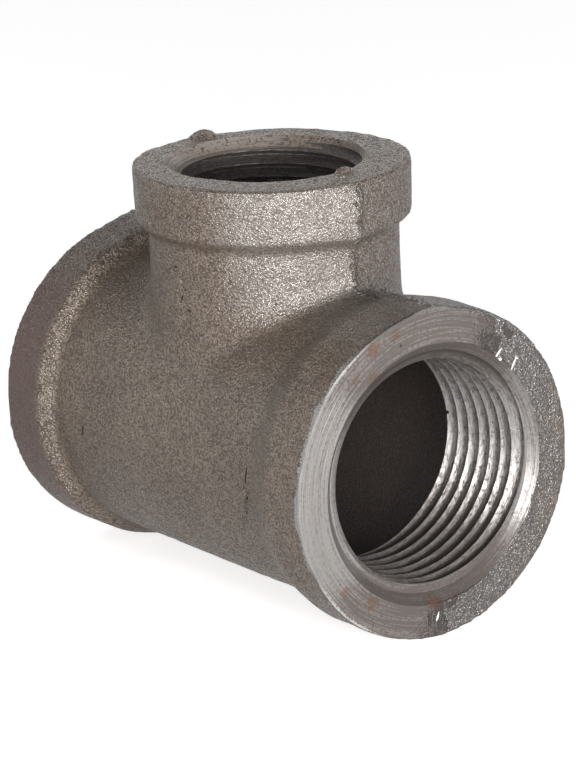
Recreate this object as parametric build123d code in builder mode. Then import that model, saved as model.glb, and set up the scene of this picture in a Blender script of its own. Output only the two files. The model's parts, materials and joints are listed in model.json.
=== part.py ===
from build123d import *
import os

# Malleable iron reducing tee: two equal run ends along X and a smaller branch along +Z,
# cast in one piece, cored through, with a threaded mouth in each end.
# Millimetres. The run's bands stand on z = 0, below the crossing of the centre lines.

# casting, outside
run_reach = 34.8            # crossing of the centre lines to each run end face
branch_reach = 36.8         # crossing of the centre lines to the branch end face
run_band_radius = 22.6
run_band_width = 8.2
run_body_radius = 20.7
branch_band_radius = 18.8
branch_band_width = 6.9
neck_radius = 17.0
shoulder_length = 2.7       # slope from a band down to the barrel behind it
rim_bevel = 0.6             # broken corner where a band meets its end face
band_round = 1.2            # as-cast rounding along the inner edge of a band
stub_radius = 1.5           # stub left on the branch's rim where the mould was fed
stub_height = 0.65          # how far the stub stands above the rim
stub_taper = 15             # degrees

# casting, inside
run_wall = 3.4
neck_wall = 3.1

# machined ends: a bore at half the depth of its thread, with a countersunk mouth
run_bore_radius = 15.8
run_thread_depth = 16.2
branch_bore_radius = 12.4
branch_thread_depth = 14.0
run_countersink = 2.0       # widening of each run mouth, at 45 degrees
branch_countersink = 1.2
past_face = 1.0             # how far a cut runs out beyond an end face

# sizes that follow from those above
run_core_radius = run_body_radius - run_wall
branch_core_radius = neck_radius - neck_wall
run_clear = run_reach - run_band_width - shoulder_length - neck_radius
neck_clear = branch_reach - branch_band_width - shoulder_length - run_body_radius
saddle_fillet = 0.85 * min(run_clear, neck_clear)   # hollow between neck and run, within its walls

crossing = (0, 0, run_band_radius)
middle_plane = Plane(origin=crossing, x_dir=(1, 0, 0), z_dir=(0, -1, 0))
run_axis = Axis(crossing, (1, 0, 0))


def arm_outline(reach, band_radius, band_width, barrel_radius):
    """Outer half section of one arm, as (distance along the arm, radius)."""
    return [
        (0, 0),
        (0, barrel_radius),
        (reach - band_width - shoulder_length, barrel_radius),
        (reach - band_width, band_radius),
        (reach, band_radius),
        (reach, 0),
    ]


def passage_outline(reach, bore_radius, thread_depth, countersink, core_radius):
    """Half section of the hollow of one arm, as (distance along the arm, radius)."""
    step = abs(core_radius - bore_radius)
    return [
        (0, 0),
        (0, core_radius),
        (reach - thread_depth - step, core_radius),
        (reach - thread_depth, bore_radius),
        (reach - countersink, bore_radius),
        (reach + past_face, bore_radius + countersink + past_face),
        (reach + past_face, 0),
    ]


def upright(outline):
    """The same half section for an arm that points up."""
    return [(radius, distance) for distance, radius in outline]


def rings(part, radius):
    """The circular edges of one radius."""
    return part.edges().filter_by(GeomType.CIRCLE).filter_by(lambda ring: abs(ring.radius - radius) < 0.001)


# the hollow: both passages, cored wider behind their bores
with BuildPart() as hollow:
    with BuildSketch(middle_plane):
        with BuildLine():
            Polyline(
                *passage_outline(
                    run_reach, run_bore_radius, run_thread_depth, run_countersink, run_core_radius
                ),
                close=True,
            )
        make_face()
        mirror(about=Plane.YZ)
    revolve(axis=run_axis)
    with BuildSketch(middle_plane):
        with BuildLine():
            Polyline(
                *upright(passage_outline(
                    branch_reach, branch_bore_radius, branch_thread_depth, branch_countersink,
                    branch_core_radius,
                )),
                close=True,
            )
        make_face()
    revolve(axis=Axis.Z)

# the casting
with BuildPart() as tee:
    with BuildSketch(middle_plane):
        with BuildLine():
            Polyline(
                *arm_outline(run_reach, run_band_radius, run_band_width, run_body_radius),
                close=True,
            )
        make_face()
        mirror(about=Plane.YZ)
    revolve(axis=run_axis)
    with BuildSketch(middle_plane):
        with BuildLine():
            Polyline(
                *upright(arm_outline(branch_reach, branch_band_radius, branch_band_width, neck_radius)),
                close=True,
            )
        make_face()
    revolve(axis=Axis.Z)
    fillet(tee.edges().filter_by(GeomType.BSPLINE), saddle_fillet)
    fillet(rings(tee, run_band_radius).sort_by(Axis.X)[1:3], band_round)
    fillet(rings(tee, branch_band_radius).sort_by(Axis.Z)[0], band_round)
    chamfer(tee.faces().filter_by(Axis.X).edges(), rim_bevel)
    chamfer(tee.faces().filter_by(Axis.Z).edges(), rim_bevel)
    with BuildSketch(Plane.XY.offset(run_band_radius + branch_reach)):
        with Locations((rim_bevel + stub_radius + 0.1 - branch_band_radius, 0)):
            Circle(stub_radius)
    extrude(amount=stub_height, taper=stub_taper)
    add(hollow.part, mode=Mode.SUBTRACT)

tee.part.label = "tee"
os.makedirs("parts", exist_ok=True)
export_step(tee.part, "parts/tee.step")
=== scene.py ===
import json
import math
import bpy
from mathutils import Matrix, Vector, noise


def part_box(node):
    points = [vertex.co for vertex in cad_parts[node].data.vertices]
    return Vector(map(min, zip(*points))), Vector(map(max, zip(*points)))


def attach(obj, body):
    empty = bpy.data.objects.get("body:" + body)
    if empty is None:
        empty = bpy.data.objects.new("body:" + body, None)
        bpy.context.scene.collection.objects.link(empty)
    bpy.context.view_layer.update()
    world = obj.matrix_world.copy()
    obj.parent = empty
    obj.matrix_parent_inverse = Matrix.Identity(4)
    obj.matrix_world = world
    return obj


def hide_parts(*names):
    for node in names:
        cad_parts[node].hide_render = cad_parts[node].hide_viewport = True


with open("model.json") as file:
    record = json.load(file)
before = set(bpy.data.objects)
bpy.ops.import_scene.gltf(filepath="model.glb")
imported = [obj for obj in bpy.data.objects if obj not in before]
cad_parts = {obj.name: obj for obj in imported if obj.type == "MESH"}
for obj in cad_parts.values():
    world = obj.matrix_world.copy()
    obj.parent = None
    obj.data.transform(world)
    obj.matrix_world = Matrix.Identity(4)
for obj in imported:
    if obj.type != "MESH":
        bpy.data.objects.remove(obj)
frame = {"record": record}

bl_info = {
    "name": "Malleable iron reducing tee",
    "version": (1, 0, 0),
    "blender": (4, 5, 0),
    "location": "View3D > Sidebar > Reducing tee",
    "description": "Casts, machines and finishes a threaded pipe tee, and sets its studio",
    "category": "Object",
}

MM = 0.001
INCH = 25.4 * MM

# The CAD solid's own box and threaded mouths give the sizes that the visual model keeps.
LOW, HIGH = [Vector(corner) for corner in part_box("tee")]
MOUTHS = {mount["name"]: mount for mount in frame["record"]["mounts"]}
RUN_REACH = HIGH.x
BAND_RADIUS = HIGH.y
CROSSING = Vector((0, 0, BAND_RADIUS))
RUN_BORE = MOUTHS["run_end_a"]["dims"]["r_mm"] * MM
BRANCH_BORE = MOUTHS["branch_end"]["dims"]["r_mm"] * MM
TAPER = 1 / 32
CUTTER_SIDES = 128
STOCK = 1.5 * MM                    # left on each run end for the facing tool
NECK_STOCK = 1.0 * MM
PAST_FACE = 1.0 * MM                # how far a cutter stands out of a face
PAST_THREAD = 1.2 * MM              # the same for the tap
REAMED_INSIDE = 0.05 * MM           # how far the reamer stays within the crests
SINK_DEPTH = 1.42 * MM
RUN_LEAD = 3.1 * MM                 # where each thread starts within its pitch
BRANCH_LEAD = 1.9 * MM
FRONT_SLANT = (1, 0.022, -0.006)    # the ends as cast aren't quite square
BACK_SLANT = (-1, -0.012, 0.022)
RIM_SLANT = (-0.0100, 0.0072, 1)
ARMS = {
    "run_a": (Vector((1, 0, 0)), (0, math.radians(90), 0)),
    "run_b": (Vector((-1, 0, 0)), (0, math.radians(-90), 0)),
    "branch": (Vector((0, 0, 1)), (0, 0, 0)),
}


def length(name, default, about):
    """A size in metres, shown in Blender's length units."""
    return bpy.props.FloatProperty(
        name=name, description=about, default=default, unit="LENGTH", precision=5)


def share(name, default, about):
    """A factor between nought and one."""
    return bpy.props.FloatProperty(
        name=name, description=about, default=default, min=0, max=1, subtype="FACTOR")


def colour(name, default, about):
    """An opaque colour."""
    return bpy.props.FloatVectorProperty(
        name=name, description=about, default=default, size=3, min=0, max=1, subtype="COLOR")


class TEE_PG_casting(bpy.types.PropertyGroup):
    """Sizes of the casting's outside and of its cored hollow."""
    body_radius: length("Run radius", 20.7 * MM, "Outside radius of the run between its bands")
    neck_radius: length("Neck radius", 17.0 * MM, "Outside radius of the branch below its band")
    branch_band_radius: length("Branch band radius", 18.75 * MM, "Outside radius of the branch's band")
    run_band_width: length("Run band width", 8.2 * MM, "Width of the band at each run end")
    branch_band_width: length("Branch band width", 7.1 * MM, "Width of the band at the branch end")
    shoulder: length("Shoulder", 2.2 * MM, "Length of the slope behind each band")
    skin_margin: length("Skin margin", 0.16 * MM, "How far the smooth skin stays inside the solid")
    run_core: length("Run core radius", 17.3 * MM, "Radius of the cored hollow along the run")
    branch_core: length("Branch core radius", 13.9 * MM, "Radius of the cored hollow up the branch")
    front_shoulder: length("Front shoulder", 5.2 * MM, "Length of the softer slope behind the front band")
    neck_shoulder: length("Neck shoulder", 1.5 * MM, "Length of the slope below the branch's band")
    draft: length("Draft ridge", 0.55 * MM, "Height of the ridge where the mould's halves meet on the neck")
    mismatch: length("Mould mismatch", 0.16 * MM, "How far the two halves of the mould met out of line")
    flash: length("Flash", 0.28 * MM, "Height of the jagged line left where the mould parted")
    cell: length("Skin cell", 0.44 * MM, "Spacing of the mesh on the cast skin")
    torn: length("Torn skin", 0.24 * MM, "Unevenness of the end that the facing tool partly reached")


class TEE_PG_machining(bpy.types.PropertyGroup):
    """Sizes of the faced ends, countersinks and threads."""
    run_face: length("Run face", 34.5 * MM, "Distance of each faced run end from the crossing")
    branch_face: length("Branch face", 36.4 * MM, "Distance of the branch end from the crossing")
    run_mouth: length("Run mouth", 17.8 * MM, "Radius of the countersink at a run face")
    branch_mouth: length("Branch mouth", 13.5 * MM, "Radius of the countersink at the branch face")
    run_crest: length("Run crest radius", 15.15 * MM, "Radius of the run threads' crests at the face")
    branch_crest: length("Branch crest radius", 11.85 * MM, "Radius of the branch's crests at the face")
    aside: length("Branch tool offset", 1.2 * MM, "How far towards -X the branch was countersunk")
    run_thread: length("Run thread depth", 16.6 * MM, "Depth of the thread in each run end")
    branch_thread: length("Branch thread depth", 14.4 * MM, "Depth of the thread in the branch end")
    run_pitch: length("Run pitch", INCH / 11.5, "Pitch of the run threads")
    branch_pitch: length("Branch pitch", INCH / 14, "Pitch of the branch thread")
    steps: bpy.props.IntProperty(name="Steps a turn", description="Mesh steps in each turn of a thread",
                                 default=112, min=24, max=256)


# Small modelling moves, each made with Blender's own operators

def only(piece):
    """Select one object and nothing else."""
    bpy.ops.object.select_all(action="DESELECT")
    piece.select_set(True)
    bpy.context.view_layer.objects.active = piece
    return piece


def edit():
    """Go into edit mode, with the whole mesh selected."""
    bpy.ops.object.mode_set(mode="EDIT")
    bpy.ops.mesh.select_all(action="SELECT")


def leave():
    """Go back to object mode."""
    bpy.ops.object.mode_set(mode="OBJECT")


def settle(piece):
    """Put an object's place into its mesh, with its origin at the frame's."""
    only(piece)
    bpy.ops.object.transform_apply(location=True, rotation=True, scale=True)
    return piece


def turned(name, outline, arm, sides=144, centre=CROSSING):
    """A lathe-turned solid: a disc drawn out along an arm, with the radius that the outline gives it."""
    along, turn = ARMS[arm]
    distance, radius = outline[0]
    bpy.ops.object.select_all(action="DESELECT")
    bpy.ops.mesh.primitive_circle_add(vertices=sides, radius=radius, fill_type="NGON",
                                      location=centre + along * distance, rotation=turn)
    piece = bpy.context.object
    piece.name = name
    edit()
    for next_distance, next_radius in outline[1:]:
        bpy.ops.mesh.extrude_region_move(
            TRANSFORM_OT_translate={"value": along * (next_distance - distance), "orient_type": "GLOBAL"})
        factor = next_radius / radius
        bpy.ops.transform.resize(value=(factor,) * 3, center_override=centre + along * next_distance)
        distance, radius = next_distance, next_radius
    bpy.ops.mesh.select_all(action="SELECT")
    bpy.ops.mesh.normals_make_consistent(inside=False)
    leave()
    return settle(piece)


def trim(piece, point, outward):
    """Cut away what lies beyond a plane, and close the cut."""
    only(piece)
    edit()
    bpy.ops.mesh.bisect(plane_co=point, plane_no=outward, use_fill=True, clear_outer=True, threshold=1e-7)
    leave()


def lump(name, place, sizes, turn=(0, 0, 0)):
    """A rounded lump: a ball drawn out to these half sizes, at a place measured from the crossing in mm."""
    bpy.ops.object.select_all(action="DESELECT")
    bpy.ops.mesh.primitive_ico_sphere_add(subdivisions=3, radius=MM, location=CROSSING + Vector(place) * MM)
    piece = bpy.context.object
    piece.name = name
    edit()
    bpy.ops.transform.resize(value=sizes, center_override=piece.location)
    leave()
    piece.rotation_euler = [math.radians(angle) for angle in turn]
    return settle(piece)


def finish_with(piece, kind, **settings):
    """Add a modifier with these settings and apply it."""
    only(piece)
    modifier = piece.modifiers.new(kind.title(), kind)
    for key, value in settings.items():
        setattr(modifier, key, value)
    bpy.ops.object.modifier_apply(modifier=modifier.name)


def weigh(piece, name, weight):
    """A vertex group weighted by a function of the vertex's place, measured from the crossing."""
    group = piece.vertex_groups.new(name=name)
    for vertex in piece.data.vertices:
        value = weight(vertex.co - CROSSING)
        if value > 0.01:
            group.add([vertex.index], min(value, 1), "REPLACE")
    return group.name


def marked(piece, finish):
    """Every face of the piece is to get this finish."""
    holder = bpy.data.materials.get(finish) or bpy.data.materials.new(finish)
    piece.data.materials.clear()
    piece.data.materials.append(holder)
    return piece


def cut(piece, cutter, finish):
    """Take the cutter's space out of the piece; the new faces get this finish."""
    marked(cutter, finish)
    finish_with(piece, "BOOLEAN", operation="DIFFERENCE", object=cutter, solver="MANIFOLD",
                material_mode="TRANSFER")
    bpy.data.objects.remove(cutter, do_unlink=True)


def clouds(name, size, depth=2):
    """A procedural noise for a Displace modifier."""
    texture = bpy.data.textures.new(name, "CLOUDS")
    texture.noise_scale = size
    texture.noise_depth = depth
    return texture


def fade(value, near, far):
    """One up to near, falling smoothly to nought at far."""
    t = min(max((far - value) / (far - near), 0), 1)
    return t * t * (3 - 2 * t)


# The casting

def cast_outline(reach, band_radius, band_width, barrel_radius, shoulder):
    """Outer half section of one arm, from the crossing to its end."""
    return [(0, barrel_radius), (reach - band_width - shoulder, barrel_radius),
            (reach - band_width, band_radius), (reach, band_radius)]


def near_saddle(point, sizes):
    """How near a point is to the line where the neck's wall and the run's meet."""
    if point.z < 0:
        return 0
    across = math.hypot(point.x, point.y) - sizes.neck_radius
    round_run = math.hypot(point.y, point.z) - sizes.body_radius
    return fade(math.hypot(across, round_run), 4.0 * MM, 8.5 * MM)


def past_parting(point):
    """How far a point lies on the -Y side of the wavering line where the mould's halves met."""
    waver = noise.noise(point / (1.5 * MM)) * 0.65 * MM + noise.noise(point / (5 * MM)) * 0.35 * MM
    return 0.35 * MM + waver - point.y


def near_half(point):
    """One on the half that the mould's -Y side shaped."""
    return 1 - fade(past_parting(point), 0, 0.25 * MM)


def on_flash(point):
    """How much of the flash's height a point has."""
    here = fade(abs(past_parting(point)), 0.1 * MM, 0.6 * MM)
    high = 1 - 0.6 * fade(point.z, 12 * MM, 18 * MM)
    here *= high * fade(point.z, 34.0 * MM, 35.4 * MM)
    return here * (0.15 + 1.5 * abs(noise.noise(point / (1.1 * MM) + Vector((3, 7, 1)))))


def on_draft(point):
    """How much of the draft ridge's height a point on the neck has."""
    beside = 1 - min(abs(point.y) / (5 * MM), 1)
    return beside * (1 - fade(point.z, 14 * MM, 22 * MM)) * fade(point.z, 35.2 * MM, 36.2 * MM)


# The nubs on the branch's rim: the place from the crossing and the half sizes, in mm
NUBS = (
    ((-17.5, 1.4, 36.4), (1.45, 1.7, 0.93)), ((-18.0, 0.5, 36.1), (0.8, 1.1, 1.0)),
    ((13.1, 2.4, 36.45), (1.3, 1.6, 0.92)), ((14.9, 0.6, 36.4), (1.9, 0.6, 0.55)),
)


class TEE_OT_cast(bpy.types.Operator):
    """Cast the tee's outside: run, bands, branch, saddle, parting line and rough skin"""
    bl_idname = "tee.cast"
    bl_label = "Cast the blank"

    def execute(self, context):
        sizes = context.scene.tee_casting
        cuts = context.scene.tee_machining
        run = (RUN_REACH + STOCK, BAND_RADIUS - sizes.skin_margin, sizes.run_band_width + STOCK,
               sizes.body_radius)
        back = cast_outline(*run, sizes.shoulder)
        front = cast_outline(*run, sizes.front_shoulder)
        both = [(-distance, radius) for distance, radius in reversed(back)] + front[1:]
        blank = turned("tee_casting", both, "run_a")
        trim(blank, CROSSING + Vector((cuts.run_face - 0.03 * MM, 6.9 * MM, 0)), Vector(FRONT_SLANT))
        trim(blank, CROSSING - Vector((cuts.run_face + 0.1 * MM, 0, 4 * MM)), Vector(BACK_SLANT))
        neck = turned("neck", cast_outline(
            cuts.branch_face + NECK_STOCK, sizes.branch_band_radius, sizes.branch_band_width + NECK_STOCK,
            sizes.neck_radius, sizes.neck_shoulder), "branch")
        trim(neck, CROSSING + Vector((0, 0, cuts.branch_face + 0.08 * MM)), Vector(RIM_SLANT))
        nubs = [lump("nub", place, half) for place, half in NUBS]
        only(blank)
        for piece in (neck, *nubs):
            piece.select_set(True)
        bpy.ops.object.join()
        finish_with(blank, "REMESH", mode="VOXEL", voxel_size=sizes.cell, use_smooth_shade=True)
        saddle = weigh(blank, "saddle", lambda point: near_saddle(point, sizes))
        finish_with(blank, "SMOOTH", factor=0.5, iterations=135, vertex_group=saddle)
        finish_with(blank, "SMOOTH", factor=0.5, iterations=3)
        finish_with(blank, "DISPLACE", strength=sizes.draft, mid_level=0,
                    vertex_group=weigh(blank, "draft", on_draft))
        finish_with(blank, "DISPLACE", direction="X", strength=sizes.mismatch, mid_level=0,
                    vertex_group=weigh(blank, "near half", near_half))
        finish_with(blank, "DISPLACE", strength=sizes.flash, mid_level=0,
                    vertex_group=weigh(blank, "parting", on_flash))
        end = weigh(blank, "end", lambda point: 1 - fade(point.x, 33.6 * MM, 34.1 * MM))
        finish_with(blank, "DISPLACE", texture=clouds("torn", 1.3 * MM, 2), texture_coords="LOCAL",
                    direction="X", strength=sizes.torn, mid_level=0.5, vertex_group=end)
        finish_with(blank, "DISPLACE", texture=clouds("swell", 9 * MM, 1), texture_coords="LOCAL",
                    strength=0.30 * MM, mid_level=0.5)
        marked(blank, "cast")
        finish_with(blank, "DISPLACE", texture=clouds("lumps", 2.2 * MM, 2), texture_coords="LOCAL",
                    strength=0.16 * MM, mid_level=0.5)
        return {"FINISHED"}


# The machined ends

def reamer(name, arm, face, crest, depth):
    """A tapered reamer, just inside the thread's crests, from beyond the face down to its depth."""
    outline = [(face + along, crest + along * TAPER - REAMED_INSIDE) for along in (-depth, PAST_FACE)]
    return turned(name, outline, arm, CUTTER_SIDES)


def countersink(name, arm, face, mouth, aside):
    """A 45 degree countersink, which may be off centre."""
    outline = [(face + along, mouth + along) for along in (-SINK_DEPTH, 0, PAST_FACE)]
    return turned(name, outline, arm, CUTTER_SIDES, CROSSING + aside)


def thread(name, arm, face, bore, pitch, depth, lead, steps):
    """A tapered thread's male form: one pitch of its profile, turned into a helix and tapered."""
    along, turn = ARMS[arm]
    tall = 0.8 * pitch
    crest = 0.030 * pitch
    root = 0.022 * pitch
    start = -lead - pitch / 4 - math.ceil(depth / pitch + 1) * pitch
    profile = [(bore, 0), (bore, crest), (bore + tall, pitch / 2 - root), (bore + tall, pitch / 2 + root),
               (bore, pitch - crest), (bore, pitch)]
    bpy.ops.object.select_all(action="DESELECT")
    bpy.ops.mesh.primitive_plane_add(size=1 * MM, location=(0, 0, 0))
    cutter = bpy.context.object
    cutter.name = name
    edit()
    bpy.ops.mesh.merge(type="CENTER")
    bpy.ops.transform.translate(value=(profile[0][0], 0, start))
    for here, there in zip(profile, profile[1:]):
        bpy.ops.mesh.extrude_region_move(
            TRANSFORM_OT_translate={"value": (there[0] - here[0], 0, there[1] - here[1])})
    leave()
    turns = math.ceil((depth + 1.5 * MM) / pitch) + 4
    finish_with(cutter, "SCREW", axis="Z", screw_offset=pitch, iterations=turns, steps=steps,
                render_steps=steps, use_merge_vertices=True, merge_threshold=0.002 * MM)
    edit()
    bpy.ops.mesh.remove_doubles(threshold=0.002 * MM)
    leave()
    trim(cutter, Vector((0, 0, -depth)), Vector((0, 0, -1)))
    trim(cutter, Vector((0, 0, PAST_THREAD)), Vector((0, 0, 1)))
    finish_with(cutter, "SIMPLE_DEFORM", deform_method="TAPER", deform_axis="Z",
                factor=(depth + PAST_THREAD) * TAPER / bore)
    only(cutter)
    edit()
    bpy.ops.mesh.normals_make_consistent(inside=False)
    leave()
    cutter.rotation_euler = turn
    cutter.location = CROSSING + along * face
    return settle(cutter)


# Small hurts that the casting carries: a name, then the place from the crossing and the half sizes
# in mm, and the turn in degrees. Those with no finish of their own are as dark as the cored hollow.
SCAR_FINISHES = {"chip": "chipped", "thread chip": "chipped", "nick": "cast"}
SCARS = (
    ("crack", (20.4, -20.72, 1.2), (0.16, 0.40, 1.3), (0, 6, 0)),
    ("nick", (20.2, -20.66, -1.3), (0.62, 0.40, 0.8), (0, -14, 0)),
    ("crack", (20.5, -20.60, -1.9), (0.20, 0.40, 0.6), (0, 22, 0)),
    ("nick", (20.0, -20.55, -3.2), (0.40, 0.45, 1.0), (0, 8, 0)),
    ("crack", (19.9, -20.45, -4.3), (0.40, 0.35, 0.22), (0, 20, 0)),
    ("pit", (-0.5, -15.35, 13.9), (0.30, 0.30, 0.34), (0, 0, 0)),
    ("scratch", (-18.0, -20.66, -1.6), (0.22, 0.22, 0.9), (0, 18, 0)),
    ("crack", (1.9, -17.0, 20.6), (0.18, 0.42, 0.75), (0, 25, 0)),
    ("nick", (2.5, -17.0, 19.9), (0.55, 0.40, 0.50), (0, -30, 0)),
    ("crack", (3.2, -16.8, 19.1), (0.50, 0.40, 0.20), (0, 15, 0)),
    ("nick", (2.2, -17.0, 22.7), (0.34, 0.50, 0.70), (0, -20, 0)),
    ("crack", (2.6, -16.95, 21.9), (0.20, 0.40, 0.30), (0, 0, 0)),
    ("nick", (0.9, -17.0, 24.6), (0.30, 0.45, 0.50), (0, 30, 0)),
    ("nick", (-2.2, -18.7, 30.9), (0.30, 0.40, 0.70), (0, 10, 0)),
    ("chip", (34.50, 10.7, 14.1), (0.30, 0.30, 1.30), (-40, 0, 0)),
    ("chip", (34.40, 11.2, 13.5), (0.30, 0.42, 0.60), (10, 0, 0)),
    ("chip", (34.30, 13.6, 12.3), (0.30, 0.26, 1.20), (-28, 0, 0)),
    ("chip", (34.40, 14.0, 13.2), (0.28, 0.30, 0.50), (20, 0, 0)),
    ("chip", (34.40, -0.4, -19.6), (0.18, 0.30, 0.9), (-20, 0, 0)),
    ("thread chip", (18.0, 14.6, 1.9), (0.5, 0.5, 0.32), (0, 0, 0)),
)


class TEE_OT_machine(bpy.types.Operator):
    """Face the ends, core the hollow, and drill, countersink and tap the three mouths"""
    bl_idname = "tee.machine"
    bl_label = "Machine the ends"

    def scar(self, tee):
        """Nicks, pits and chips."""
        for name, place, half, turn in SCARS:
            cut(tee, lump(name, place, half, turn), SCAR_FINISHES.get(name, "cored"))

    def execute(self, context):
        sizes = context.scene.tee_casting
        cuts = context.scene.tee_machining
        tee = bpy.data.objects["tee_casting"]
        for arm in ("run_a", "run_b"):
            outline = [(cuts.run_face, 30 * MM), (cuts.run_face + 4 * MM, 30 * MM)]
            cut(tee, turned("facing", outline, arm, 64), "faced")
        run_step = sizes.run_core - RUN_BORE
        run_end = cuts.run_face - cuts.run_thread
        outline = [(-run_end, RUN_BORE), (-run_end + run_step, sizes.run_core),
                   (run_end - run_step, sizes.run_core), (run_end, RUN_BORE)]
        cut(tee, turned("run_core", outline, "run_a", 96), "cored")
        branch_step = sizes.branch_core - BRANCH_BORE
        branch_end = cuts.branch_face - cuts.branch_thread
        outline = [(0, sizes.branch_core), (branch_end - branch_step, sizes.branch_core),
                   (branch_end, BRANCH_BORE)]
        cut(tee, turned("branch_core", outline, "branch", 96), "cored")
        centred = Vector((0, 0, 0))
        run = (cuts.run_face, cuts.run_mouth, cuts.run_crest, cuts.run_thread, cuts.run_pitch,
               RUN_LEAD, centred)
        branch = (cuts.branch_face, cuts.branch_mouth, cuts.branch_crest, cuts.branch_thread,
                  cuts.branch_pitch, BRANCH_LEAD, Vector((-cuts.aside, 0, 0)))
        for arm, end in (("run_a", run), ("run_b", run), ("branch", branch)):
            face, mouth, crest, depth, pitch, lead, aside = end
            deep = depth + 0.6 * MM
            cut(tee, reamer("reamer", arm, face, crest, deep), "faced")
            cut(tee, thread("tap", arm, face, crest, pitch, deep, lead, cuts.steps), "tapped")
            cut(tee, countersink("countersink", arm, face, mouth, aside), "faced")
        self.scar(tee)
        only(tee)
        bpy.ops.object.shade_smooth_by_angle(angle=math.radians(32))
        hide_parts("tee")
        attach(tee, "root")
        return {"FINISHED"}


# Finishes

class TEE_PG_finish(bpy.types.PropertyGroup):
    """Colours of the iron's finishes."""
    skin: colour("Cast skin", (0.168, 0.122, 0.082), "Base colour of the cast skin")
    # Also the painted shade at the top and bottom of the run threads' bore, deepest at the roots.
    pit: colour("Pits", (0.022, 0.016, 0.012), "Colour of the pits and hollows in the skin")
    bare: colour("Bare iron", (0.42, 0.40, 0.385), "Base colour of the faces and countersinks")
    # Also the painted shade at the top and bottom of the machined faces and in the threads.
    dull_and_painted_shade: colour("Dulled iron", (0.085, 0.068, 0.060), "Colour of the film on dulled, machined iron")
    thread: colour("Threads", (0.40, 0.385, 0.375), "Base colour of the cut threads")
    raw: colour("Raw end", (0.044, 0.038, 0.036), "Colour of the cast skin left on a run's end face")
    # Painted shade: the darker, greyer skin just past the seam, beside the painted highlight.
    aside: colour("Skin past the seam", (0.120, 0.102, 0.094), "Colour of the branch's skin past the seam")
    # Painted highlight: the lighter, greyer skin laid on the neck where the lamps' highlight falls.
    painted_neck_highlight: colour("Rubbed skin", (0.24, 0.215, 0.195), "Colour of the skin that handling rubbed bright")
    # Painted light, partly dust: lightens the branch's up-facing rim and the rear shoulder's highlight, and
    # flecks the branch's countersink.
    dust_and_painted_light: colour("Dusted rim", (0.28, 0.22, 0.175), "Colour of the branch's dusty rim and countersink")
    core: colour("Cored inside", (0.042, 0.027, 0.022), "Base colour of the cored hollow")
    chip: colour("Chipped iron", (0.40, 0.39, 0.38), "Base colour of the bright chips")
    rust: colour("Rust", (0.115, 0.050, 0.028), "Colour of the small rust specks")


FLOAT, VECTOR, COLOUR = "NodeSocketFloat", "NodeSocketVector", "NodeSocketColor"


def group(name, inputs, outputs):
    """A shader node group with its sockets, and its own input and output nodes."""
    tree = bpy.data.node_groups.new(name, "ShaderNodeTree")
    for socket, kind, default in inputs:
        made = tree.interface.new_socket(name=socket, in_out="INPUT", socket_type=kind)
        if default is not None:
            made.default_value = default
    for socket, kind in outputs:
        tree.interface.new_socket(name=socket, in_out="OUTPUT", socket_type=kind)
    return tree, tree.nodes.new("NodeGroupInput"), tree.nodes.new("NodeGroupOutput")


def node(tree, kind, values=(), **settings):
    """A node with its settings given by name, and its inputs as (socket, value or output) pairs."""
    made = tree.nodes.new("ShaderNode" + kind)
    for key, value in settings.items():
        setattr(made, key, value)
    for socket, value in dict(values).items():
        if isinstance(value, bpy.types.NodeSocket):
            tree.links.new(value, made.inputs[socket])
        else:
            made.inputs[socket].default_value = value
    return made


def maths(tree, operation, *values):
    """The result of a Math node."""
    return node(tree, "Math", enumerate(values), operation=operation).outputs[0]


def times(tree, first, *others):
    """Values multiplied."""
    for other in others:
        first = maths(tree, "MULTIPLY", first, other)
    return first


def plus(tree, first, *others):
    """Values added."""
    for other in others:
        first = maths(tree, "ADD", first, other)
    return first


def less(tree, first, second):
    """The second value taken from the first."""
    return maths(tree, "SUBTRACT", first, second)


def most(tree, first, second):
    """The larger of two values."""
    return maths(tree, "MAXIMUM", first, second)


def surface_place(tree):
    """Where a point of the surface lies in the frame, in metres."""
    return node(tree, "TexCoord").outputs["Object"]


def parts(tree, vector):
    """The X, Y and Z of a vector."""
    return node(tree, "SeparateXYZ", {"Vector": vector}).outputs


def away(tree, place, at):
    """How far a point lies from a place that is given from the crossing, in mm."""
    return node(tree, "VectorMath", {0: place, 1: CROSSING + Vector(at) * MM},
                operation="DISTANCE").outputs["Value"]


def noise_value(tree, place, size, detail=2.0, roughness=0.5):
    """Noise from nought to one whose waves are about this long, in metres."""
    return node(tree, "TexNoise", {"Vector": place, "Scale": 1 / size, "Detail": detail,
                                   "Roughness": roughness}).outputs["Fac"]


def cell_distance(tree, place, size):
    """How far a point is from the middle of its random cell, in cells of about this size in metres."""
    return node(tree, "TexVoronoi", {"Vector": place, "Scale": 1 / size}).outputs["Distance"]


def band(tree, value, low, high):
    """Nought below low, one above high, and a smooth slope between."""
    return node(tree, "MapRange", {"Value": value, "From Min": low, "From Max": high},
                interpolation_type="SMOOTHSTEP").outputs["Result"]


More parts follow.
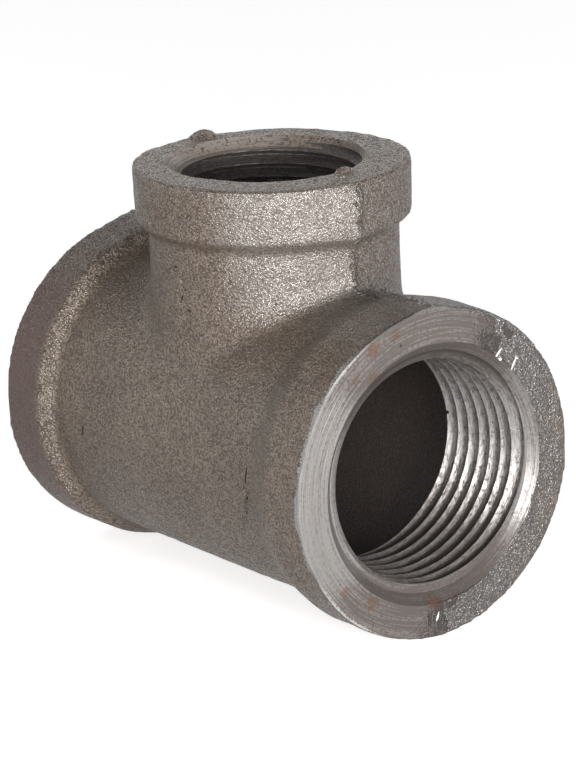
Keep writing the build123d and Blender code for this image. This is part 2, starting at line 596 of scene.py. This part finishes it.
def sand_group():
    """The skin left by a sand mould: fine grains, shallow hollows, stains and sparse pits."""
    tree, given, out = group("Sand skin", [("Pitting", FLOAT, 0.2)],
                             [("Height", FLOAT), ("Cavity", FLOAT), ("Stain", FLOAT), ("Pits", FLOAT)])
    place = surface_place(tree)
    fine = noise_value(tree, place, 0.22 * MM, 2.0, 0.6)
    coarse = noise_value(tree, place, 0.9 * MM, 2.0, 0.5)
    drift = node(tree, "TexNoise", {"Vector": place, "Scale": 1 / (0.5 * MM), "Detail": 1.0})
    shaken = node(tree, "VectorMath", {0: drift.outputs["Color"], 1: (0.34 * MM,) * 3, 2: place},
                  operation="MULTIPLY_ADD").outputs[0]
    grains = cell_distance(tree, shaken, 0.32 * MM)
    stain = noise_value(tree, place, 11 * MM, 4.0, 0.6)
    cells = cell_distance(tree, place, 1.5 * MM)
    ragged = plus(tree, cells, times(tree, coarse, 0.5))
    holes = less(tree, 1.0, band(tree, ragged, 0.30, 0.40))
    chosen = noise_value(tree, place, 3.5 * MM, 2.0)
    limit = less(tree, 0.70, times(tree, given.outputs["Pitting"], 0.28))
    pits = times(tree, holes, band(tree, less(tree, chosen, limit), 0.0, 0.05))
    height = plus(tree, times(tree, fine, 0.60), times(tree, coarse, 0.20))
    height = plus(tree, height, times(tree, less(tree, 0.9, grains), 0.35))
    cavity = less(tree, 1.0, band(tree, height, 0.46, 0.60))
    height = less(tree, height, times(tree, pits, 0.5))
    for name, value in (("Height", height), ("Cavity", cavity), ("Stain", stain), ("Pits", pits)):
        tree.links.new(value, out.inputs[name])
    return tree


def arm_group():
    """How far a point is from its arm's centre line, how far along it, and which way round."""
    tree, given, out = group("Arm distance", [], [("Radius", FLOAT), ("Along", FLOAT), ("Round", VECTOR)])
    place = parts(tree, surface_place(tree))
    level = less(tree, place["Z"], CROSSING.z)
    on_branch = maths(tree, "GREATER_THAN", level, BAND_RADIUS + 1 * MM)

    def either(run_value, branch_value):
        return node(tree, "Mix", {"Factor": on_branch, "A": run_value, "B": branch_value}).outputs["Result"]

    across = node(tree, "CombineXYZ", {"X": either(place["Y"], place["X"]),
                                       "Y": either(level, place["Y"])}).outputs[0]
    radius = node(tree, "VectorMath", {0: across}, operation="LENGTH").outputs["Value"]
    toward = node(tree, "VectorMath", {0: across}, operation="NORMALIZE").outputs["Vector"]
    tree.links.new(radius, out.inputs["Radius"])
    tree.links.new(either(maths(tree, "ABSOLUTE", place["X"]), level), out.inputs["Along"])
    tree.links.new(toward, out.inputs["Round"])
    return tree


def turned_group(arm):
    """Fine rings and broken scratches that a cutting tool leaves round an arm's centre line."""
    tree, given, out = group("Turned marks", [("Length", FLOAT, 1.0)],
                             [("Height", FLOAT), ("Streak", FLOAT), ("Flecks", FLOAT)])
    polar = node(tree, "Group", node_tree=arm).outputs
    feed = plus(tree, polar["Radius"], times(tree, polar["Along"], 0.73))
    round_it = node(tree, "VectorMath", {0: polar["Round"], "Scale": 1.0}, operation="SCALE")
    tree.links.new(maths(tree, "DIVIDE", 1.6 * MM, given.outputs["Length"]), round_it.inputs["Scale"])
    fed = node(tree, "CombineXYZ", {"Z": feed}).outputs[0]
    place = node(tree, "VectorMath", {0: round_it.outputs["Vector"], 1: fed}, operation="ADD").outputs[0]
    fine = noise_value(tree, place, 0.15 * MM, 1.0, 0.5)
    broad = noise_value(tree, place, 0.27 * MM, 2.0, 0.6)
    flecks = noise_value(tree, surface_place(tree), 0.50 * MM, 3.0, 0.65)
    tree.links.new(plus(tree, times(tree, fine, 0.65), times(tree, broad, 0.35)),
                   out.inputs["Height"])
    tree.links.new(plus(tree, times(tree, fine, 0.5), times(tree, broad, 0.5)),
                   out.inputs["Streak"])
    tree.links.new(flecks, out.inputs["Flecks"])
    return tree


# Rust spots on the machined ends: the place from the crossing and the radius, in mm
RUST_SPOTS = (
    (34.5, -9.6, 18.9, 1.5), (34.5, -9.8, 14.8, 1.3), (34.5, -6.0, 20.2, 1.1), (34.5, -12.6, 15.6, 0.8),
    (34.5, -15.4, -12.7, 1.0), (34.5, -11.1, -15.3, 1.3), (34.5, -0.7, -17.3, 1.6), (34.5, 2.6, -16.7, 1.2),
    (34.5, 6.6, -15.2, 0.9), (-12.8, -7.3, 36.4, 0.9), (-14.9, 2.6, 36.4, 0.9), (-7.3, 3.8, 36.4, 0.6),
    (-9.0, 11.0, 36.0, 0.9), (-12.5, 5.0, 35.8, 0.8),
)


def rust_group():
    """Soft freckled patches of rust: the spots in their places, and a few strays."""
    tree, given, out = group("Rust specks", [("Amount", FLOAT, 0.5)], [("Mask", FLOAT)])
    place = surface_place(tree)
    ragged = times(tree, noise_value(tree, place, 0.7 * MM, 3.0, 0.8), 2.6 * MM)
    spots = 0.0
    for x, y, z, radius in RUST_SPOTS:
        off = plus(tree, away(tree, place, (x, y, z)), ragged)
        near = band(tree, off, (radius + 1.3) * MM, (radius + 0.4) * MM)
        spots = most(tree, near, spots)
    patches = noise_value(tree, place, 3.2 * MM, 2.0, 0.6)
    freckles = noise_value(tree, place, 0.7 * MM, 2.0, 0.6)
    both = plus(tree, times(tree, patches, 0.68), times(tree, freckles, 0.32))
    limit = less(tree, 0.70, times(tree, given.outputs["Amount"], 0.12))
    strays = band(tree, less(tree, both, limit), 0.0, 0.10)
    tree.links.new(most(tree, times(tree, strays, 0.6), spots), out.inputs["Mask"])
    return tree


def material(name, base, metallic, roughness):
    """A new Principled material and its shader node."""
    made = bpy.data.materials.new(name)
    made.use_nodes = True
    shader = made.node_tree.nodes["Principled BSDF"]
    shader.inputs["Base Color"].default_value = (*base, 1)
    shader.inputs["Metallic"].default_value = metallic
    shader.inputs["Roughness"].default_value = roughness
    return made, shader


def blend(tree, factor, first, second, kind="MIX"):
    """Two colours mixed by a factor."""
    def full(value):
        return value if isinstance(value, bpy.types.NodeSocket) else (*value, 1)
    mixed = node(tree, "Mix", data_type="RGBA", blend_type=kind)
    for place, value in ((0, factor), (6, full(first)), (7, full(second))):
        socket = mixed.inputs[place]
        if isinstance(value, bpy.types.NodeSocket):
            tree.links.new(value, socket)
        else:
            socket.default_value = value
    return mixed.outputs[2]


def bump(tree, height, distance, strength, before=None):
    """A Bump node's normal, over an earlier one if given."""
    values = {"Height": height, "Distance": distance, "Strength": strength}
    if before:
        values["Normal"] = before
    return node(tree, "Bump", values).outputs["Normal"]


def skin_material(colours, sand, rust, arm):
    """Dark brown-grey iron as it left the sand, glossy on its grains, bright at torn edges; with a painted
    highlight on the neck, painted shade past the seam, and painted light on the rear shoulder and the
    branch's rim.
    """
    made, shader = material("cast_skin", colours.skin, 0, 0.36)
    shader.inputs["IOR"].default_value = 2.0
    tree = made.node_tree
    here = surface_place(tree)
    crackled = 0.34
    for at, radius in (((2.6, -16.9, 21.0), 4.5), ((-3.0, -18.5, 30.5), 5.5), ((20.4, -20.6, -1.5), 4.0)):
        near = times(tree, band(tree, away(tree, here, at), radius * MM, radius * 0.4 * MM), 0.85)
        crackled = most(tree, near, crackled)
    mould = node(tree, "Group", {"Pitting": crackled}, node_tree=sand).outputs
    specks = node(tree, "Group", {"Amount": 0.05}, node_tree=rust).outputs["Mask"]
    polar = node(tree, "Group", node_tree=arm).outputs
    deep = tuple(part * factor for part, factor in zip(colours.skin, (0.34, 0.26, 0.20)))
    rear_band_dark = tuple(part * factor for part, factor in zip(colours.skin, (0.52, 0.36, 0.40)))
    worn = (0.80, 0.74, 0.70)
    place = parts(tree, here)
    rounds = parts(tree, polar["Round"])
    shade = blend(tree, times(tree, mould["Cavity"], 0.9), colours.skin, deep)
    stained = blend(tree, 1.0, shade, worn, "MULTIPLY")
    shade = blend(tree, band(tree, mould["Stain"], 0.36, 0.64), shade, stained)
    # The rear band is made darker, except near its top, and a little more metallic.
    rear_band_darkened = times(tree, band(tree, place["X"], -26.0 * MM, -27.6 * MM),
                  band(tree, place["Z"], 44 * MM, 36 * MM))
    shade = blend(tree, times(tree, rear_band_darkened, 0.9), shade, rear_band_dark)
    # Painted highlight on the neck's near side up to the seam: lighter and a little more metallic, fading
    # in the grain's hollows.
    painted_neck_highlight = times(tree, band(tree, place["X"], 6.5 * MM, 13.5 * MM),
                   band(tree, place["Y"], 0.6 * MM, 0.3 * MM),
                   band(tree, place["Z"], CROSSING.z + 17 * MM, CROSSING.z + 22 * MM),
                   maths(tree, "MULTIPLY_ADD", mould["Cavity"], -0.75, 1.0))
    shade = blend(tree, painted_neck_highlight, shade, colours.painted_neck_highlight)
    # Painted shade just past the seam on the neck: darker, greyer skin beside the painted highlight.
    beyond = times(tree, band(tree, place["X"], 3 * MM, 9 * MM), band(tree, place["Y"], 0.3 * MM, 0.9 * MM),
                   band(tree, place["Z"], CROSSING.z + 15 * MM, CROSSING.z + 21 * MM), 0.8)
    shade = blend(tree, beyond, shade, blend(tree, mould["Cavity"], colours.aside, deep))
    # Painted highlight: the grain's high points on the rear band's shoulder are made lighter.
    ribbon = times(tree, band(tree, place["X"], -24.6 * MM, -25.4 * MM),
                   band(tree, place["X"], -26.9 * MM, -26.1 * MM))
    bright = times(tree, ribbon, band(tree, mould["Height"], 0.52, 0.64))
    shade = blend(tree, times(tree, bright, 0.7), shade, colours.dust_and_painted_light)
    # Painted light on the branch's up-facing rim, partly dust: its grain is made lighter.
    tilted = node(tree, "VectorMath", {0: here, 1: RIM_SLANT}, operation="DOT_PRODUCT").outputs["Value"]
    dust_and_painted_light_mask = times(tree, band(tree, tilted, CROSSING.z + 36.25 * MM, CROSSING.z + 36.42 * MM),
                   band(tree, mould["Height"], 0.36, 0.56))
    shade = blend(tree, times(tree, dust_and_painted_light_mask, 0.85), shade, colours.dust_and_painted_light)
    raw = band(tree, polar["Along"], RUN_REACH - 0.9 * MM, RUN_REACH - 0.5 * MM)
    raw = times(tree, raw, maths(tree, "LESS_THAN", place["Z"], CROSSING.z + BAND_RADIUS))
    shade = blend(tree, times(tree, raw, 0.85), shade, colours.raw)
    glint = times(tree, raw, band(tree, mould["Height"], 0.585, 0.65))
    shade = blend(tree, mould["Pits"], shade, colours.pit)
    shade = blend(tree, times(tree, specks, 0.5), shade, colours.rust)
    ragged = plus(tree, mould["Height"], times(tree, noise_value(tree, here, 2.6 * MM, 1.0), 1.3))
    torn = band(tree, plus(tree, polar["Along"], times(tree, ragged, 1.2 * MM)),
                RUN_REACH + 0.30 * MM, RUN_REACH + 0.60 * MM)
    torn = times(tree, torn, maths(tree, "GREATER_THAN", polar["Radius"], BAND_RADIUS - 0.9 * MM),
                 band(tree, rounds["X"], -0.45, -0.65), band(tree, rounds["Y"], -0.55, -0.25))
    bared = most(tree, torn, times(tree, glint, 0.42))
    shade = blend(tree, bared, shade, colours.chip)
    tree.links.new(shade, shader.inputs["Base Color"])
    metal = most(tree, times(tree, bared, 0.9), times(tree, rear_band_darkened, 0.42))
    metal = most(tree, metal, times(tree, painted_neck_highlight, 0.35))
    metal = most(tree, metal, times(tree, mould["Cavity"], 0.34))
    tree.links.new(metal, shader.inputs["Metallic"])
    rough = node(tree, "MapRange", {"Value": mould["Cavity"], "To Min": 0.20, "To Max": 0.55})
    tree.links.new(rough.outputs["Result"], shader.inputs["Roughness"])
    waver = times(tree, noise_value(tree, here, 1.2 * MM, 3.0, 0.7), 3.0 * MM)
    across = plus(tree, place["Y"], waver)
    ridge = times(tree, band(tree, across, 1.20 * MM, 1.60 * MM), band(tree, across, 2.30 * MM, 1.85 * MM))
    ridge = times(tree, ridge, band(tree, noise_value(tree, here, 0.65 * MM, 2.0), 0.40, 0.58))
    parted = band(tree, across, 2.00 * MM, 1.80 * MM)
    rugged = times(tree, raw, noise_value(tree, here, 0.50 * MM, 1.0), 0.8)
    height = plus(tree, mould["Height"], times(tree, parted, 0.30), times(tree, ridge, 2.20),
                  times(tree, ribbon, mould["Height"], 0.7), rugged)
    tree.links.new(bump(tree, height, 0.24 * MM, 1.0), shader.inputs["Normal"])
    return made


def machined_material(colours, turned_marks, rust, sand, arm):
    """Bare faced iron with turning marks, dulled in patches, specked with rust, bright at its rim, with
    painted shade at the top and bottom of each face.
    """
    made, shader = material("machined_iron", colours.bare, 1.0, 0.36)
    tree = made.node_tree
    marks = node(tree, "Group", {"Length": 4.5}, node_tree=turned_marks).outputs
    specks = node(tree, "Group", {"Amount": 0.35}, node_tree=rust).outputs["Mask"]
    polar = node(tree, "Group", node_tree=arm).outputs
    mould = node(tree, "Group", {"Pitting": 0.3}, node_tree=sand).outputs
    # Painted shade: the faces are darker at the top and bottom; the stain, streaks and flecks add real
    # patina.
    up = parts(tree, polar["Round"])["Y"]
    film_and_painted_shade = band(tree, plus(tree, maths(tree, "ABSOLUTE", up), times(tree, mould["Stain"], 0.6)),
                0.75, 1.15)
    film_and_painted_shade = plus(tree, times(tree, film_and_painted_shade, 0.64), 0.04,
                times(tree, band(tree, marks["Streak"], 0.45, 0.55), 0.42),
                times(tree, band(tree, marks["Flecks"], 0.48, 0.62), 0.28))
    place = parts(tree, surface_place(tree))
    level = less(tree, place["Z"], CROSSING.z)
    edge = less(tree, place["Y"], times(tree, level, 0.27))
    edge = plus(tree, edge, times(tree, mould["Height"], 9 * MM))
    flat = maths(tree, "GREATER_THAN", polar["Along"], RUN_REACH - 0.45 * MM)
    patchy = noise_value(tree, surface_place(tree), 1.6 * MM, 3.0, 0.6)
    patchy = band(tree, maths(tree, "MULTIPLY_ADD", patchy, 14 * MM, edge), 15.6 * MM, 16.6 * MM)
    patchy = times(tree, patchy, flat)
    edge = times(tree, band(tree, edge, 5.5 * MM, 11.5 * MM), flat)
    film_and_painted_shade = plus(tree, film_and_painted_shade, maths(tree, "MULTIPLY_ADD", flat, -0.10, 0.10))
    film_and_painted_shade = maths(tree, "MINIMUM", plus(tree, film_and_painted_shade, times(tree, edge, 0.5)), 0.92)
    shade = blend(tree, film_and_painted_shade, colours.bare, colours.dull_and_painted_shade)
    shade = blend(tree, times(tree, patchy, 0.75), shade, colours.raw)
    # Dust flecks on the branch's countersink.
    dust_and_painted_light_mask = times(tree, band(tree, place["Z"], CROSSING.z + 33 * MM, CROSSING.z + 34 * MM),
                   band(tree, marks["Flecks"], 0.36, 0.52))
    shade = blend(tree, times(tree, dust_and_painted_light_mask, 0.65), shade, colours.dust_and_painted_light)
    ragged = times(tree, plus(tree, mould["Height"], mould["Stain"]), 1.2 * MM)
    lip = band(tree, plus(tree, polar["Radius"], ragged), BAND_RADIUS + 0.75 * MM, BAND_RADIUS + 1.05 * MM)
    lip = times(tree, lip, band(tree, place["Y"], -8 * MM, -13 * MM))
    shade = blend(tree, lip, shade, colours.chip)
    rusted = times(tree, specks, 0.6)
    shade = blend(tree, rusted, shade, colours.rust)
    shade = blend(tree, times(tree, mould["Pits"], 0.8), shade, colours.pit)
    tree.links.new(shade, shader.inputs["Base Color"])
    hidden = most(tree, times(tree, film_and_painted_shade, 0.55), dust_and_painted_light_mask)
    clean = less(tree, 1.0, most(tree, hidden, rusted))
    tree.links.new(clean, shader.inputs["Metallic"])
    rough = node(tree, "MapRange", {"Value": film_and_painted_shade, "To Min": 0.32, "To Max": 0.55}).outputs["Result"]
    tree.links.new(rough, shader.inputs["Roughness"])
    height = plus(tree, marks["Height"], times(tree, edge, mould["Height"], 4.0))
    tree.links.new(bump(tree, height, 0.065 * MM, 1.0), shader.inputs["Normal"])
    return made


def thread_material(colours, turned_marks, rust, arm):
    """Bright cut threads, scored along the groove and flecked where the tool tore the iron, with painted
    shade at the bore's top and bottom and towards the thread roots.
    """
    made, shader = material("cut_thread", colours.thread, 1.0, 0.35)
    tree = made.node_tree
    marks = node(tree, "Group", {"Length": 0.8}, node_tree=turned_marks).outputs
    specks = node(tree, "Group", {"Amount": 0.10}, node_tree=rust).outputs["Mask"]
    level = parts(tree, surface_place(tree))["Z"]
    on_branch = band(tree, level, CROSSING.z + BAND_RADIUS, CROSSING.z + BAND_RADIUS + 0.5 * MM)
    grime_and_painted_shade = plus(tree, times(tree, band(tree, marks["Flecks"], 0.50, 0.66), 0.45),
                 times(tree, band(tree, marks["Streak"], 0.46, 0.58), 0.45))
    polar = node(tree, "Group", node_tree=arm).outputs
    up = parts(tree, polar["Round"])["Y"]
    # Painted shade: the threads are darker towards their roots, and the run threads at the top and bottom
    # of the bore.
    bore_top_and_bottom = band(tree, maths(tree, "ABSOLUTE", less(tree, up, 0.1)), 0.15, 0.85)
    bore_top_and_bottom = less(tree, bore_top_and_bottom, on_branch)
    rooted = maths(tree, "MULTIPLY_ADD", polar["Along"], -TAPER, polar["Radius"])
    rooted = band(tree, rooted, 14.5 * MM, 15.6 * MM)
    bore_top_and_bottom = most(tree, bore_top_and_bottom, 0.0)
    grime_and_painted_shade = plus(tree, grime_and_painted_shade, times(tree, bore_top_and_bottom, 0.65), times(tree, rooted, 0.45),
                 times(tree, on_branch, 0.45))
    grime_and_painted_shade = maths(tree, "MINIMUM", grime_and_painted_shade, 0.95)
    shade = blend(tree, grime_and_painted_shade, colours.thread, colours.dull_and_painted_shade)
    painted_bore_shade = times(tree, bore_top_and_bottom, maths(tree, "MULTIPLY_ADD", rooted, 0.5, 0.4))
    shade = blend(tree, painted_bore_shade, shade, colours.pit)
    rusted = times(tree, specks, 0.6)
    shade = blend(tree, rusted, shade, colours.rust)
    tree.links.new(shade, shader.inputs["Base Color"])
    tree.links.new(less(tree, 1.0, most(tree, times(tree, grime_and_painted_shade, 0.7), rusted)),
                   shader.inputs["Metallic"])
    height = less(tree, marks["Height"], times(tree, band(tree, marks["Flecks"], 0.54, 0.70), 0.5))
    tree.links.new(bump(tree, height, 0.05 * MM, 1.0), shader.inputs["Normal"])
    return made


def chip_material(colours):
    """Iron freshly torn or chipped."""
    return material("chipped_iron", colours.chip, 1.0, 0.45)[0]


def core_material(colours, sand):
    """The cored hollow: dark burnt skin with a coarse grain, and sparse light specks as painted glints."""
    made, shader = material("cored_skin", colours.core, 0, 0.5)
    tree = made.node_tree
    mould = node(tree, "Group", {"Pitting": 0.3}, node_tree=sand).outputs
    deep = tuple(part * 0.6 for part in colours.core)
    # Painted glints: sparse light specks in the base colour.
    speck = noise_value(tree, surface_place(tree), 0.22 * MM, 1.0)
    light = tuple(part * 3.2 for part in colours.core)
    shade = blend(tree, mould["Cavity"], colours.core, deep)
    shade = blend(tree, times(tree, band(tree, speck, 0.60, 0.72), 0.8), shade, light)
    tree.links.new(shade, shader.inputs["Base Color"])
    tree.links.new(bump(tree, mould["Height"], 0.4 * MM, 1.0), shader.inputs["Normal"])
    return made


class TEE_OT_finish(bpy.types.Operator):
    """Give the skin, the machined faces, the threads and the cored hollow their finishes"""
    bl_idname = "tee.finish"
    bl_label = "Finish the iron"

    def execute(self, context):
        colours = context.scene.tee_finish
        sand = sand_group()
        rust = rust_group()
        arm = arm_group()
        marks = turned_group(arm)
        finishes = {
            "cast": skin_material(colours, sand, rust, arm),
            "faced": machined_material(colours, marks, rust, sand, arm),
            "tapped": thread_material(colours, marks, rust, arm),
            "cored": core_material(colours, sand),
            "chipped": chip_material(colours),
        }
        tee = bpy.data.objects["tee_casting"]
        for place, holder in enumerate(tee.data.materials):
            tee.data.materials[place] = finishes[holder.name]
        return {"FINISHED"}


# The studio

class TEE_PG_studio(bpy.types.PropertyGroup):
    """Camera, floor and lamps."""
    azimuth: bpy.props.FloatProperty(name="Azimuth", description="Camera's bearing round +Z, from +X",
                                     default=math.radians(-35.707), subtype="ANGLE")
    elevation: bpy.props.FloatProperty(name="Elevation", description="Camera's height above the level",
                                       default=math.radians(16.536), subtype="ANGLE")
    roll: bpy.props.FloatProperty(name="Roll", description="Camera's turn about its own line of sight",
                                  default=math.radians(-2.155), subtype="ANGLE")
    distance: length("Distance", 0.68896, "From the aim point to the camera")
    lens: bpy.props.FloatProperty(name="Lens", description="Focal length over a 36 mm wide frame",
                                  default=315.51, unit="CAMERA")
    floor: colour("Floor", (0.86, 0.86, 0.86), "Colour of the floor and backdrop")
    lift: share("Lift", 0.70, "How much the floor is whitened for the camera and in reflections")
    power: bpy.props.FloatProperty(name="Lamp power", description="Power of the strongest softbox",
                                   default=3.0, unit="POWER")
    mirrored: share("Mirrored lift", 0.40, "How much of that whitening the floor shows in reflections")
    sky: share("Sky", 0.21, "Strength of the even light from all round")


def bearing(azimuth, elevation):
    """The unit vector towards a bearing in degrees round +Z from +X, and a height above the level."""
    a, e = math.radians(azimuth), math.radians(elevation)
    return Vector((math.cos(e) * math.cos(a), math.cos(e) * math.sin(a), math.sin(e)))


def lamp(name, azimuth, elevation, distance, size, power):
    """A square softbox that looks at the crossing."""
    light = bpy.data.lights.new(name, "AREA")
    light.shape = "SQUARE"
    light.size = size
    light.energy = power
    holder = bpy.data.objects.new(name, light)
    bpy.context.collection.objects.link(holder)
    toward = bearing(azimuth, elevation)
    holder.location = CROSSING + toward * distance
    holder.rotation_euler = toward.to_track_quat("Z", "Y").to_euler()
    return holder


# The softboxes: a name, the bearing round +Z from +X and the height in degrees, and a share of the
# strongest one's power
SOFTBOXES = (("key", -11, 7, 1.0), ("front", -37, 12, 0.42), ("left", -62, 12, 0.15),
             ("right", 17, 12, 0.26), ("behind", -130, 40, 0.12))


class TEE_OT_stage(bpy.types.Operator):
    """Lay the pale floor and set the lamps and the camera"""
    bl_idname = "tee.stage"
    bl_label = "Set the studio"

    def paper(self, name, base, lift, mirrored):
        """White paper, whitened by lift for the camera and by a share of it in reflections."""
        made, shader = material(name, base, 0, 0.9)
        tree = made.node_tree
        seen = node(tree, "LightPath").outputs
        direct = most(tree, seen["Is Camera Ray"], seen["Is Transmission Ray"])
        direct = most(tree, direct, times(tree, seen["Is Glossy Ray"], mirrored))
        shader.inputs["Emission Color"].default_value = (1, 1, 1, 1)
        tree.links.new(times(tree, direct, lift), shader.inputs["Emission Strength"])
        return made

    def execute(self, context):
        studio = context.scene.tee_studio
        bpy.ops.object.select_all(action="DESELECT")
        bpy.ops.mesh.primitive_plane_add(size=6, location=(0, 0, LOW.z))
        floor = bpy.context.object
        floor.name = "floor"
        bpy.ops.mesh.primitive_cylinder_add(vertices=96, radius=2.6, depth=1.1, end_fill_type="NOTHING",
                                            location=(0, 0, LOW.z + 0.55))
        backdrop = bpy.context.object
        backdrop.name = "backdrop"
        for surface, lift, mirrored in ((floor, studio.lift, studio.mirrored), (backdrop, 1.0, 1.0)):
            surface.data.materials.append(self.paper(surface.name, studio.floor, lift, mirrored))
        world = bpy.data.worlds.new("studio")
        context.scene.world = world
        world.use_nodes = True
        world.node_tree.nodes["Background"].inputs["Color"].default_value = (1, 1, 1, 1)
        world.node_tree.nodes["Background"].inputs["Strength"].default_value = studio.sky
        for name, azimuth, height, part in SOFTBOXES:
            lamp(name, azimuth, height, 0.6, 0.14, studio.power * part)
        aim = CROSSING + Vector((-0.4, 1.7, 4.43)) * MM
        toward = bearing(math.degrees(studio.azimuth), math.degrees(studio.elevation))
        camera = bpy.data.objects.new("camera", bpy.data.cameras.new("camera"))
        context.collection.objects.link(camera)
        camera.location = aim + toward * studio.distance
        camera.rotation_euler = toward.to_track_quat("Z", "Y").to_euler()
        camera.rotation_euler.rotate_axis("Z", studio.roll)
        camera.data.sensor_fit = "HORIZONTAL"
        camera.data.sensor_width = 36
        camera.data.lens = studio.lens
        camera.data.clip_start = 0.01
        context.scene.camera = camera
        context.scene.view_settings.view_transform = "Standard"
        return {"FINISHED"}


class TEE_PT_panel(bpy.types.Panel):
    """The tee's steps and sizes in the sidebar"""
    bl_idname = "TEE_PT_panel"
    bl_label = "Reducing tee"
    bl_space_type = "VIEW_3D"
    bl_region_type = "UI"
    bl_category = "Reducing tee"

    def draw(self, context):
        column = self.layout.column()
        for step in STEPS:
            column.operator(step.bl_idname)
        for name, group in GROUPS.items():
            box = column.box()
            for key in group.__annotations__:
                box.prop(getattr(context.scene, name), key)


GROUPS = {
    "tee_casting": TEE_PG_casting,
    "tee_machining": TEE_PG_machining,
    "tee_finish": TEE_PG_finish,
    "tee_studio": TEE_PG_studio,
}
STEPS = (TEE_OT_cast, TEE_OT_machine, TEE_OT_finish, TEE_OT_stage)
CLASSES = (*GROUPS.values(), *STEPS, TEE_PT_panel)


def register():
    for cls in CLASSES:
        bpy.utils.register_class(cls)
    for name, group in GROUPS.items():
        setattr(bpy.types.Scene, name, bpy.props.PointerProperty(type=group))


def unregister():
    for name in GROUPS:
        delattr(bpy.types.Scene, name)
    for cls in reversed(CLASSES):
        bpy.utils.unregister_class(cls)


def main():
    """Make every piece and the studio."""
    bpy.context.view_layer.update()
    register()
    bpy.ops.tee.cast()
    bpy.ops.tee.machine()
    bpy.ops.tee.finish()
    bpy.ops.tee.stage()


if __name__ == "__main__":
    main()
